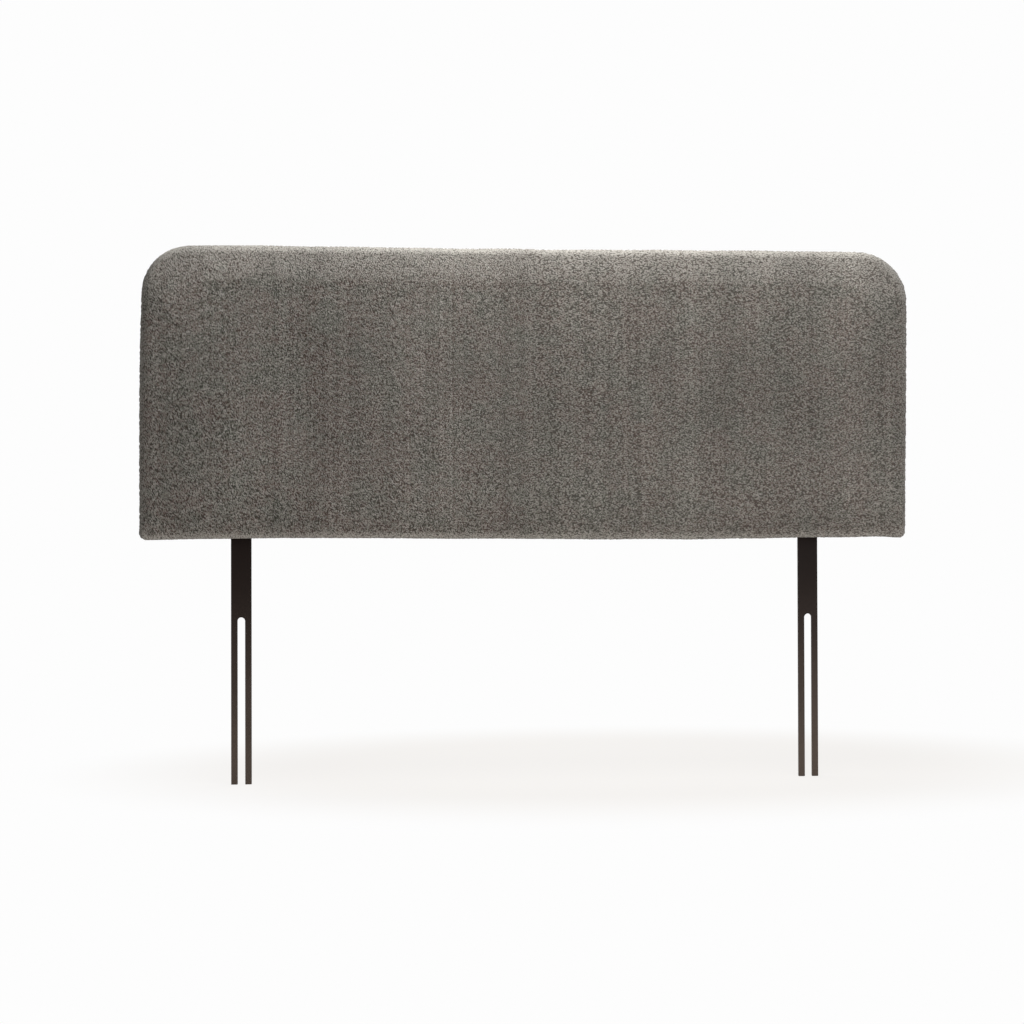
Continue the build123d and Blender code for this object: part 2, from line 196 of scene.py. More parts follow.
@named
class HEADBOARD_PG_steel(bpy.types.PropertyGroup):
    """Powder coat on the legs and zinc on the fixings."""

    coat: colour("of the legs", 22, 11, 7)
    # Painted reflection of the floor on the lower legs
    dust: colour("of the legs near the floor", 88, 77, 70)
    rub: colour("where the coat is rubbed", 86, 80, 77)
    zinc: colour("of the plated fixings", 158, 161, 163)
    tarnish: colour("of the plating's dull patches", 118, 116, 108)


@named
class HEADBOARD_PG_inside(bpy.types.PropertyGroup):
    """Timber, board and padding under the cover."""

    early_wood: colour("between the pine's rings", 226, 192, 142)
    late_wood: colour("of the pine's rings", 186, 136, 84)
    knot: colour("of the pine's knots", 116, 74, 42)
    plywood: colour("of the corner blocks", 208, 172, 126)
    glue_line: colour("between the plywood's layers", 140, 98, 62)
    hardboard: colour("of the face board", 122, 86, 56)
    beech: colour("of the dowels", 214, 170, 128)
    foam: colour("of the foam", 222, 214, 188)
    # Painted shade in the foam's pores
    pore: colour("deep in the foam's cells", 176, 160, 118)
    wadding: colour("of the fibre layer", 236, 236, 232)
    # Painted shade deep in the fibre layer
    fibre_shade: colour("deep in the fibre layer", 196, 196, 192)


@named
class HEADBOARD_PG_stage(bpy.types.PropertyGroup):
    """Camera, lamps and floor."""

    camera_place: FloatVectorProperty(
        description="Where the camera stands", default=(-0.2596, -3.0416, 0.5099), size=3,
        subtype="TRANSLATION", unit="LENGTH")
    camera_turn: turned("How far the camera turns to the right", 4.233)
    camera_rise: turned("How far the camera looks up", 0.513)
    camera_roll: turned("How far the camera leans to its right", 0.155)
    lens: number("Focal length on a 36 mm frame", 53.97, 1.0, unit="CAMERA")
    floor_width: length("Width of the floor", 16.0)
    white: colour("of the floor and the space behind", 253, 253, 253)
    # Painted shadow round the legs
    near: colour("that the floor shows of its own near the legs", 248, 246, 244)
    floor: colour("of the floor under the lamps", 246, 242, 238)
    overhead_power: number("Power of the lamp above", 44.0, unit="POWER")
    front_power: number("Power of the lamp in front", 40.0, unit="POWER")
    overhead_tint: tint("Colour of the lamp above", (0.992, 1.0, 0.976))
    front_tint: tint("Colour of the lamp in front", (1.0, 0.996, 1.0))
    fill: number("Level of the light from all round", 0.14, max=2.0)


@named
class HEADBOARD_PG_settings(bpy.types.PropertyGroup):
    """Everything that a user changes on the headboard."""

    cover: PointerProperty(description="The padded cover", type=HEADBOARD_PG_cover)
    lining: PointerProperty(description="The cloth on the back", type=HEADBOARD_PG_lining)
    steel: PointerProperty(description="Legs and fixings", type=HEADBOARD_PG_steel)
    inside: PointerProperty(description="Timber and padding", type=HEADBOARD_PG_inside)
    stage: PointerProperty(description="Camera, lamps and floor", type=HEADBOARD_PG_stage)


# Shader nodes
def both_ways(operation):
    """An operator and its reflected form."""
    def forward(self, other):
        return self.maths(operation, self, other)

    def reflected(self, other):
        return self.maths(operation, other, self)

    return forward, reflected


class Value:
    """A node's output that takes part in sums: each operator adds a Math node."""

    def __init__(self, finish, socket):
        self.finish, self.socket = finish, socket

    def maths(self, operation, *values, clamp=False):
        return self.finish.node(
            "Math", dict(enumerate(values)), operation=operation, use_clamp=clamp)

    __add__, __radd__ = both_ways("ADD")
    __sub__, __rsub__ = both_ways("SUBTRACT")
    __mul__, __rmul__ = both_ways("MULTIPLY")

    def __pow__(self, other):
        return self.maths("POWER", self, other)

    def __abs__(self):
        return self.maths("ABSOLUTE", self)

    def most(self, other):
        return self.maths("MAXIMUM", self, other)

    def sine(self):
        return self.maths("SINE", self)

    def held(self):
        return self.maths("ADD", self, 0.0, clamp=True)

    def rise(self, low, high):
        """0 below low and 1 above high, with a smooth step between."""
        return self.finish.node("MapRange", {"Value": self, "From Min": low, "From Max": high},
                                interpolation_type="SMOOTHSTEP", clamp=True)


class Finish:
    """One material, or the world, and the nodes that make it."""

    def __init__(self, name, owner=None):
        self.material = owner or bpy.data.materials.new(name)
        self.material.use_nodes = True
        self.tree = self.material.node_tree
        self.tree.nodes.clear()
        if owner is None:
            self.place = self.node("TexCoord", output="Object")

    def node(self, kind, inputs=None, output=0, **settings):
        """Adds a node: its settings first, then its sockets' values or links."""
        made = self.tree.nodes.new("ShaderNode" + kind)
        for key, value in settings.items():
            setattr(made, key, value)
        for key, value in (inputs or {}).items():
            socket = made.inputs[key]
            if isinstance(value, Value):
                self.tree.links.new(value.socket, socket)
            elif socket.type == "RGBA" and len(value) == 3:
                socket.default_value = (*value, 1.0)
            else:
                socket.default_value = value
        return Value(self, made.outputs[output]) if made.outputs else made

    def split(self, axis, at=None):
        return self.node("SeparateXYZ", {"Vector": at or self.place}, axis)

    def scaled(self, by, at=None):
        return self.node("VectorMath", {0: at or self.place, 1: by}, operation="MULTIPLY")

    def leaning(self, left, right, squeeze):
        """The place turned about the depth and squeezed along the turned width, so that what is
        drawn in it is stretched that way. The angle goes from left, at the left edge, to right,
        from the middle on."""
        x, y, z = (self.split(axis) for axis in "XYZ")
        angle = self.node("MapRange", {
            "Value": x, "From Min": CAD_BOX[0][0], "From Max": 0.0,
            "To Min": left, "To Max": right}, clamp=True)
        cosine, sine = (angle + QUARTER).sine(), angle.sine()
        return self.node("CombineXYZ", {
            0: (x * cosine + z * sine) * squeeze, 1: y, 2: z * cosine - x * sine})

    def texture(self, kind, output, scale, at, **inputs):
        """A texture with one scale, or with one for each axis."""
        if isinstance(scale, tuple):
            at, scale = self.scaled(scale, at), 1.0
        return self.node(kind, {"Vector": at or self.place, "Scale": scale, **inputs}, output)

    def noise(self, scale, detail=2.0, roughness=0.5, distortion=0.0, at=None):
        return self.texture("TexNoise", "Fac", scale, at,
                            Detail=detail, Roughness=roughness, Distortion=distortion)

    def cells(self, scale, randomness=1.0, at=None):
        """Distance to the nearest of points scattered one to a cell."""
        return self.texture("TexVoronoi", "Distance", scale, at, Randomness=randomness)

    def mix(self, share, first, second, blend="MIX"):
        """Blends two colours."""
        return self.node("Mix", {0: share, 6: first, 7: second}, 2,
                         data_type="RGBA", blend_type=blend, clamp_factor=True)

    def attribute(self, name):
        return self.node("Attribute", None, "Fac", attribute_type="GEOMETRY", attribute_name=name)

    def seen_directly(self):
        """1 for the camera's rays and for rays through glass or off a gloss, and 0 for light."""
        camera, gloss, glass = (self.node("LightPath", output=f"Is {ray} Ray")
                                for ray in ("Camera", "Glossy", "Transmission"))
        return camera.most(gloss).most(glass)

    def surface(self, shade, roughness, relief, depth, strength, others=None):
        """Ends the material in a Principled shader over a bump of relief, with other sockets."""
        bump = self.node("Bump", {"Height": relief, "Distance": depth, "Strength": strength})
        shader = self.node("BsdfPrincipled", {
            "Base Color": shade, "Roughness": roughness, "Normal": bump, **(others or {})})
        self.node("OutputMaterial", {"Surface": shader})
        return self.material


def boucle_fabric(c):
    """Looped yarn: painted shade in the gaps between the loops, strands of several greys, and pale
    tips, partly pale strands and partly painted highlight on the loops' tops. More painted
    highlight
    lies where the cloth bends over an edge: broadly along the top, narrowly at other edges."""
    f = Finish("Boucle fabric")
    nap, tone, strand, bend_highlight = map(f.attribute, ("nap", "tone", "strand", "bend_highlight"))
    across, height = f.split("X"), f.split("Z")
    curl = f.cells(400.0, at=f.leaning(c.lean_left, c.lean_right, 0.66))
    rings = (1.0 - abs(curl - 0.34) * 2.4).held()
    fluff = f.noise(900.0, 3.0, 0.6)
    drift = f.noise((10.0, 10.0, 1.2))
    cloud = f.noise((9.0, 9.0, 6.0))

    # Strands of three colours, the warm and the cool ones in patches
    hue = (f.noise(15.0, 4.0, 0.7) * 2.0 - 0.5 + (strand - 0.5) * 0.35).rise(0.25, 0.75)
    yarn = f.mix(hue, c.green_yarn, c.brown_yarn)
    yarn = f.mix((1.0 - strand).rise(0.5, 0.9), yarn, c.grey_yarn)

    # Pale tips, partly painted highlight; painted shade in the gaps; and the blend of both where
    # the yarn is brushed
    pale_tip_and_highlight = (nap * 0.54 + rings * 0.46).rise(0.56, 1.0) * (0.31 + 0.69 * tone)
    # Painted highlight where the cloth bends over an edge, most along the top
    yarn = f.mix(pale_tip_and_highlight + bend_highlight * (0.35 + 0.80 * rings), yarn, c.pale_yarn_and_highlight)
    # Painted shade: where the loops are low the yarn darkens towards the gap shade colour
    gap = (1.0 - (nap * 0.57 + rings * 0.43)).rise(0.15, 0.74)
    yarn = f.mix(gap * 0.69, yarn, c.ground)
    yarn = f.mix(across.rise(-0.7, 0.35) * c.brushed, yarn, c.blend)

    # Slow changes of brightness: streaks, clouds, painted light on the lower face and a painted
    # highlight below the top
    # Painted light: the lower face is lighter, more towards the right
    wear_and_painted_light = (1.0 - height.rise(0.50, 0.80)) * (0.35 + 0.65 * across.rise(-0.6, 0.7))
    # Painted highlight: a band just below the top is lighter
    upper = height.rise(0.80, 0.97) - height.rise(0.97, 1.04)
    level = 0.47 + 0.46 * drift + 0.34 * cloud + 0.10 * fluff + 0.14 * wear_and_painted_light + 0.09 * upper
    grey = f.node("CombineColor", {0: level, 1: level, 2: level})
    yarn = f.mix(1.0, yarn, grey, "MULTIPLY")
    return f.surface(
        yarn, 0.86 + 0.12 * fluff, rings * 0.7 + fluff * 0.4, 0.0010, 0.9,
        {"Specular IOR Level": 0.2, "Sheen Weight": 0.20, "Sheen Roughness": 0.45,
         "Sheen Tint": (1.0, 0.99, 0.97)})


def lining_cloth(c):
    """Pressed black fibre cloth with a faint point pattern from its rollers."""
    f = Finish("Lining cloth")
    fibre = f.noise((420.0, 420.0, 160.0), 4.0, 0.65, 1.2)
    points = f.cells((420.0, 84.0, 420.0), 0.15)
    cloud = f.noise(9.0, 3.0, 0.6)
    shade = f.mix(fibre.rise(0.42, 0.72) * 0.8 + cloud * 0.2, c.cloth, c.fibre)
    return f.surface(shade, 0.72 + 0.2 * fibre, fibre * 0.6 + points * 0.5, 0.0002, 0.7,
                     {"Specular IOR Level": 0.35, "Sheen Weight": 0.15, "Sheen Roughness": 0.4})


def powder_coat(c):
    """Black powder coat: fine orange peel, a painted reflection of the floor that lightens it
    towards the floor, and worn edges at the slot.
    """
    f = Finish("Powder coat")
    height = f.split("Z")
    coat_patches = f.noise((30.0, 30.0, 9.0), 4.0, 0.6)
    speck = f.noise(1500.0)
    peel = f.noise(700.0, 2.0, 0.55)
    # Painted reflection of the floor: the coat grows lighter towards the floor, in patches
    floor_reflected = (1.0 - height.rise(0.0, 0.55)) ** 1.5 * (0.65 + 0.7 * coat_patches)
    coat = f.mix(floor_reflected.held(), c.coat, c.dust)
    worn = 0.0012
    across = abs(abs(f.split("X")) - LEG_CENTRE)
    at_slot = 1.0 - abs(across - SLOT_HALF).rise(0.0, worn)
    at_slot = at_slot * (1.0 - height.rise(SLOT_TOP - 0.01, SLOT_TOP + 0.01))
    at_edge = across.rise(LEG_HALF - worn, LEG_HALF)
    wear_and_painted_light = at_slot.most(at_edge) * f.noise(120.0, 3.0, 0.7).rise(0.48, 0.66)
    coat = f.mix(wear_and_painted_light * 0.7, coat, c.rub)
    return f.surface(coat, 0.42 + 0.16 * coat_patches + 0.08 * speck, peel * 0.8 + speck * 0.2,
                     0.00012, 0.6, {"Specular IOR Level": 0.12})


def zinc_steel(c):
    """Bright zinc with dull patches and fine marks from the tumbling drum."""
    f = Finish("Zinc steel")
    cloud = f.noise(160.0, 3.0, 0.6)
    marks = f.noise((1400.0, 400.0, 900.0), 2.0, 0.6)
    return f.surface(f.mix(cloud.rise(0.42, 0.70), c.zinc, c.tarnish), 0.30 + 0.22 * cloud,
                     marks, 0.00005, 0.5, {"Metallic": 1.0})


def pine(c, name, along):
    """Sawn pine: rings stretched along the length, a few knots and fine pores."""
    f = Finish(name)

    def scales(lengthways, crossways):
        return tuple(lengthways if axis == along else crossways for axis in "XYZ")

    grain = f.scaled(scales(2.2, 26.0))
    sway = f.noise(0.8, 3.0, at=grain)
    rings = (f.split("Y", grain) * 3.0 + sway * 14.0).sine() * 0.5 + 0.5
    pores = f.noise(scales(40.0, 900.0))
    knots = 1.0 - f.cells(scales(4.2, 7.0)).rise(0.05, 0.16)
    wood = f.mix(rings ** 2.0 * 0.65 + pores * 0.2, c.early_wood, c.late_wood)
    wood = f.mix(knots * 0.8, wood, c.knot)
    return f.surface(wood, 0.62 + 0.2 * pores, rings * 0.4 + pores * 0.6, 0.0002, 0.6,
                     {"Specular IOR Level": 0.3})


def layered_ply(c):
    """Plywood: thin layers through the depth with dark glue lines, and a flamed face."""
    f = Finish("Plywood")
    layer = (f.split("Y") * 2100.0).sine()
    flame = f.noise((12.0, 12.0, 60.0), 3.0, 0.55, 1.0)
    wood = f.mix(flame.rise(0.35, 0.75) * 0.4, c.plywood, c.late_wood)
    wood = f.mix(layer.rise(0.86, 0.99) * 0.8, wood, c.glue_line)
    return f.surface(wood, 0.6 + 0.2 * flame, flame, 0.0002, 0.5)


def pressed_board(c):
    """Hardboard: fine pressed fibres, darker flecks and a slight polish on the face."""
    f = Finish("Hardboard")
    fibre = f.noise(600.0, 4.0, 0.7)
    fleck = f.noise((160.0, 160.0, 220.0), 2.0, 0.6)
    shade = f.mix(fleck.rise(0.52, 0.72) * 0.5, c.hardboard, c.glue_line)
    return f.surface(shade, 0.45 + 0.3 * fibre, fibre, 0.0001, 0.6)


def turned_beech(c):
    """Beech dowel: short dark flecks along the grain."""
    f = Finish("Beech")
    fleck = f.noise((300.0, 900.0, 300.0), 3.0, 0.6)
    shade = f.mix(fleck.rise(0.55, 0.75) * 0.5, c.beech, c.late_wood)
    return f.surface(shade, 0.55 + 0.2 * fleck, fleck, 0.0001, 0.5)


def open_foam(c):
    """Foam: open cells with painted shade in their pores."""
    f = Finish("Foam")
    cell = f.cells(900.0)
    # Painted shade in the cells' pores, also spread in soft clouds
    shade = f.mix(cell.rise(0.45, 0.85) * 0.35 + f.noise(14.0) * 0.15, c.foam, c.pore)
    return f.surface(shade, 0.85 + 0.12 * cell, cell, 0.0004, 0.8)


def fibre_web(c):
    """Wadding: soft white fibres lying in all directions, with painted shade among them."""
    f = Finish("Fibre wadding")
    web = f.noise(260.0, 5.0, 0.75, 1.5)
    # Painted shade: the fibres grey in patches
    shade = f.mix(web.rise(0.35, 0.7) * 0.35, c.wadding, c.fibre_shade)
    return f.surface(shade, 0.9 + 0.08 * web, web, 0.0008, 0.8)


# Mesh work
def new_piece(name, points, faces, last_face=None, bake=None):
    """Puts whole arrays of points and four-sided faces, and at most one many-sided face, into an
    object. bake holds a flat place for each corner of each face."""
    mesh = bpy.data.meshes.new(name)
    corners = faces.reshape(-1)
    totals = np.full(len(faces), 4, np.int32)
    if last_face is not None:
        corners = np.concatenate([corners, last_face])
        totals = np.append(totals, len(last_face)).astype(np.int32)
    mesh.vertices.add(len(points))
    mesh.vertices.foreach_set("co", points.astype(np.float32).ravel())
    mesh.loops.add(len(corners))
    mesh.loops.foreach_set("vertex_index", corners.astype(np.int32))
    mesh.polygons.add(len(totals))
    mesh.polygons.foreach_set("loop_start", np.cumsum(totals, dtype=np.int32) - totals)
    mesh.polygons.foreach_set("loop_total", totals)
    mesh.polygons.foreach_set("use_smooth", np.ones(len(totals), bool))
    mesh.update(calc_edges=True)
    if mesh.validate():
        raise RuntimeError(f"{name}: the mesh had bad faces")
    if bake is not None:
        flat = mesh.uv_layers.new(name="OFBake")
        flat.data.foreach_set("uv", bake.astype(np.float32).ravel())
    made = bpy.data.objects.new(name, mesh)
    bpy.context.scene.collection.objects.link(made)
    return made


def ramp(values, run=1.0):
    """0 up to 0, then straight up to 1 over the run."""
    return np.clip(values / run, 0, 1)


def bell(distance, spread):
    """A bell curve: e to the power of less the square of distance over spread."""
    return np.exp(-((distance / spread) ** 2))


def halving(gap, half):
    """0 at an edge and 1 far inside it: 1 less one half to the power of gap over half."""
    return 1 - 0.5 ** (np.maximum(gap, 0) / half)


def count(run, pitch):
    """How many steps of about one pitch make up a run."""
    return max(2, round(run / pitch))


def run_counts(half_base, half_top, base, upright):
    """Points on the runs of an outline (half a base corner, half a top corner, the base, a side
    and the top), and the steps across and up the grid that fills it."""
    across = base + 2 * half_base
    counts = (half_base, half_top, base, upright, across - 2 * half_top)
    return counts, across, upright + half_base + half_top


def outline(box, counts, inset, depth, top_radius, base_radius):
    """Rows of points round an upright panel, one row for each inset and depth, and the outward
    directions (x, z) that all rows share.

    A corner's point is the corner's centre plus its radius times (cos a, sin a), with the angle a
    rising evenly. A straight run's point goes evenly from the end of one corner to the start of
    the next. The round starts halfway round the lower left corner and goes to the right.
    """
    half_base, half_top, base, upright, top = counts
    runs = [  # first corner, last corner, first and last angle in degrees, points
        (0, 0, 225, 270, half_base), (0, 1, 270, 270, base), (1, 1, 270, 315, half_base),
        (1, 1, 315, 360, half_base), (1, 2, 360, 360, upright), (2, 2, 0, 45, half_top),
        (2, 2, 45, 90, half_top), (2, 3, 90, 90, top), (3, 3, 90, 135, half_top),
        (3, 3, 135, 180, half_top), (3, 0, 180, 180, upright), (0, 0, 180, 225, half_base),
    ]
    first, last, start, end, points = np.array(runs).T
    share = np.concatenate([np.arange(n) / n for n in points])
    first, last = np.repeat(first, points), np.repeat(last, points)
    start, end = np.repeat(np.radians(start), points), np.repeat(np.radians(end), points)
    angle = start + (end - start) * share
    out = np.stack([np.cos(angle), np.sin(angle)], 1)
    (x0, _, z0), (x1, _, z1) = box
    inset, top_radius, base_radius = (v[:, None, None] for v in (inset, top_radius, base_radius))
    radius = np.where(np.array([False, False, True, True])[:, None], top_radius, base_radius)
    inwards = np.array([(1, 1), (-1, 1), (-1, -1), (1, -1)])
    centre = np.array([(x0, z0), (x1, z0), (x1, z1), (x0, z1)]) + inwards * (inset + radius)
    here, there = (centre[:, corner] + radius[:, corner] * out for corner in (first, last))
    flat = here + (there - here) * share[:, None]
    return np.insert(flat, 1, depth[:, None], axis=-1), out


def filled(ring, across, up):
    """The inside points of a grid that fills a closed ring: the sum of the straight blends between
    its base and top and between its two sides, less the blend of its four corners."""
    base, right = ring[: across + 1], ring[across : across + up + 1]
    top = ring[across + up : 2 * across + up + 1][::-1]
    left = np.vstack([ring[2 * across + up :], ring[:1]])[::-1]
    u = np.linspace(0, 1, across + 1)[None, :, None]
    v = np.linspace(0, 1, up + 1)[:, None, None]
    corners = (1 - u) * ((1 - v) * base[0] + v * top[0]) + u * ((1 - v) * base[-1] + v * top[-1])
    grid = (1 - v) * base + v * top + (1 - u) * left[:, None] + u * right[:, None] - corners
    return grid[1:-1, 1:-1].reshape(-1, 3)


def grid_faces(index):
    """Four-sided faces on a grid of point numbers, turning from the first axis to the second."""
    corners = index[:-1, :-1], index[1:, :-1], index[1:, 1:], index[:-1, 1:]
    return np.stack(corners, -1).reshape(-1, 4)


def round_faces(index):
    """The same for rows that close on themselves."""
    return grid_faces(np.hstack([index, index[:, :1]]))


def skin_faces(rows, wide, across, up, start=0, way=1):
    """Faces of rows of points round a panel and of the grid that fills the first row, with the
    last row's numbers. The grid's border takes the row's numbers, and its inside counts on."""
    index = np.arange(rows * wide).reshape(rows, wide) + start
    ring, next_one = index[0], start + index.size
    face = np.empty((up + 1, across + 1), np.int64)
    face[0] = ring[: across + 1]
    face[:, -1] = ring[across : across + up + 1]
    face[-1] = ring[across + up : 2 * across + up + 1][::-1]
    face[:, 0] = np.append(ring[2 * across + up :], ring[0])[::-1]
    face[1:-1, 1:-1] = next_one + np.arange((up - 1) * (across - 1)).reshape(up - 1, -1)
    return [round_faces(index)[:, ::way], grid_faces(face)[:, ::-way]], index[-1]


def swell(points, wavelength, seed):
    """A slow random rise and fall between about -1 and 1: the sum of eight sine waves, each with
    a random direction and phase and a length near the one given."""
    chance = np.random.default_rng(seed)
    total = np.zeros(len(points))
    for _ in range(8):
        direction = chance.normal(size=3)
        direction /= np.linalg.norm(direction)
        pitch = wavelength * chance.uniform(0.7, 1.5)
        phase = chance.uniform(0, 2 * math.pi)
        total += np.sin(points @ direction * (2 * math.pi / pitch) + phase)
    return total / 3.0


def loop_heap(points, normals, lean, pitch, reach, stretch, repeat, seed):
    """Yarn loops as a heap of balls of several sizes, one placed at random in each cube of side
    pitch. The height is the largest, over the balls near by, of the square root of the ball's
    radius squared less the distance squared, in shares of reach. Distances along lean are divided
    by stretch, and those through the cloth count less, so that few loops are missing. As in
    knitting, much of the scatter comes again after repeat cubes going up. Returns the height and
    the topmost loop's two random numbers."""
    low = (points.min(0) - 2 * pitch).astype(np.float32)
    cell = np.floor((points - low) / pitch).astype(np.int32)
    size = tuple(cell.max(0) + 3)
    chance = np.random.default_rng(seed)
    again = np.arange(size[2]) % repeat
    knit = chance.random((*size[:2], repeat, 5), dtype=np.float32)[:, :, again]
    knit = 0.95 * knit + 0.05 * chance.random((*size, 5), dtype=np.float32)
    centre = (knit[..., :3] * 0.9 + 0.05) * np.float32(pitch) + low
    tone = np.clip((knit[..., 3:] - 0.5) * 1.15 + 0.5, 0, 1)
    ball = (reach * (0.92 + 0.16 * tone[..., 0])) ** 2
    best = np.zeros(len(points), np.float32)
    found = np.zeros((len(points), 2), np.float32)
    for step in np.ndindex(3, 3, 3):
        near = cell + np.array(step, np.int32) - 1
        key = tuple(near.T)
        gap = points - (near * np.float32(pitch) + centre[key])
        shorter = (gap * lean).sum(1) ** 2 * np.float32(1 - 1 / stretch**2)
        through = (gap * normals).sum(1) ** 2 * np.float32(0.6)
        square = ball[key] - (gap**2).sum(1) + shorter + through
        higher = square > best
        best[higher] = square[higher]
        found[higher] = tone[key][higher]
    return np.sqrt(best) / np.float32(reach), found


def rim_section(c, inset, stops):
    """The rim's section, from inside the face's flat to the edge of the hem, by its length.

    Its direction turns from level through the crown's angle over the crown, to a right angle over
    the roll, stays so down the side, turns again at the back and stays along the hem; the sum of
    the direction along the length is the place. An inset draws it in, as for the fabric's inside.
    stops are the points on each of the six runs. Returns inset, depth, turn and length at each.
    """
    (_, front, _), (_, back, _) = COVER_BOX
    turn = c.crown_turn
    roll, crown = c.roll_radius - inset, c.crown_radius - inset
    bend = max(c.back_radius - inset, SMALLEST_BEND)
    rolled = crown * (1 - math.cos(turn)) + roll * math.cos(turn)
    hem_back = back if inset == 0 else back - c.hem_thickness
    runs = [FLAT_MARGIN, crown * turn, roll * (QUARTER - turn),
            hem_back - bend - (front + inset + rolled), bend * QUARTER, c.hem_width - inset - bend]
    ends = np.concatenate([[0], np.cumsum(runs)])
    fine = np.linspace(0, ends[-1], 8000)
    angle = np.interp(fine, ends, np.cumsum([0, 0, turn, QUARTER - turn, 0, QUARTER, 0]))
    middle, step = (angle[1:] + angle[:-1]) / 2, fine[1]
    first = c.roll_radius + (c.crown_radius - c.roll_radius) * math.sin(turn) + FLAT_MARGIN
    place = first - np.concatenate([[0], np.cumsum(np.cos(middle) * step)])
    depth = front + inset + np.concatenate([[0], np.cumsum(np.sin(middle) * step)])
    at = np.concatenate([ends[i] + runs[i] * np.arange(1 if i else 0, n + 1) / n
                         for i, n in enumerate(stops)])
    return *(np.interp(at, fine, values) for values in (place, depth, angle)), at


def panel_counts(c, step):
    """The panel's run counts at a mesh step."""
    (x0, _, z0), (x1, _, z1) = COVER_BOX
    return run_counts(count(BASE_ARC, step), count(c.top_radius * math.pi / 4, step),
                      count(x1 - x0 - 2 * c.base_radius, step),
                      count(z1 - z0 - c.top_radius - c.base_radius, step))


def rim_rows(c, inset, stops, counts):
    """A rim as rows of points round the panel, with their outward directions, the outline's own
    directions, and each row's inset, turn and length along the section. With the inset a top
    corner shrinks as far as the roll and then keeps its radius, and a base corner opens out."""
    drawn, depth, turn, along = rim_section(c, inset, stops)
    rows, out = outline(COVER_BOX, counts, drawn, depth,
                        c.top_radius - np.minimum(drawn, c.roll_radius),
                        c.base_radius + 0.35 * drawn)
    facing = np.insert(out * np.sin(turn)[:, None, None], 1, -np.cos(turn)[:, None], axis=-1)
    return rows.reshape(-1, 3), facing.reshape(-1, 3), out, (drawn, turn, along)


def press(c, points, facing):
    """How far the padding is drawn in: most at the base of the right side, at the upper left
    corner and in the middle of the top, by a bell curve round each, and not at all at the back."""
    (x0, _, z0), (x1, back, z1) = COVER_BOX
    x, y, z = points.T
    right, _, above = ramp(facing).T
    low = c.low_press * bell(z - z0, c.low_spread) * right
    corner = c.corner_press * bell(np.hypot(x - x0, 0.6 * (z - z1)), c.corner_spread)
    middle = c.top_press * bell(x + 0.05, c.top_spread) * above
    return (low + corner + middle) * ramp(back - y, 0.045)


def drawn_in(c, points, facing, most):
    """Points moved inwards with the press, level with the face, and at the most by most."""
    return points - facing * (1, 0, 1) * np.minimum(press(c, points, facing), most)[:, None]


def band_map(along, wide, low, strips):
    """Flat places for a closed band of faces: it is cut into strips of equal length, one above
    another from low. Across a strip a place is the length along the section."""
    column = np.arange(wide)
    each = -(-wide // strips)
    left = (column % each) / each * MAP_WIDTH
    right = left + MAP_WIDTH / each
    tall = along[-1] + MAP_GAP
    u = np.stack([left, left, right, right], -1)[None]
    v = np.stack([along[:-1], along[1:], along[1:], along[:-1]], -1)[:, None]
    v = v + (tall * (column // each) + low)[None, :, None]
    return np.stack(np.broadcast_arrays(u, v), -1).reshape(-1, 2), low + tall * strips


def cover_map(across, up, along, wide, walls, last):
    """The face, the rim, the inside wall and the last face laid out flat in one square."""
    u, v = np.arange(across + 1) / across * MAP_WIDTH, np.arange(up + 1) / up * MAP_HEIGHT
    points = np.stack(np.meshgrid(u, v), -1).reshape(-1, 2)
    face = grid_faces(np.arange(len(points)).reshape(up + 1, -1))[:, ::-1]
    rim, low = band_map(along, wide, MAP_HEIGHT + MAP_GAP, 3)
    wall, low = band_map(np.arange(walls) * 0.004, wide, low, 1)
    end = last[:, ::2] * MAP_OF_LAST + (MAP_OF_LAST, low - MAP_OF_LAST * COVER_BOX[0][2])
    return np.vstack([rim, points[face.ravel()], wall, end]) / MAP_SIDE + MAP_EDGE


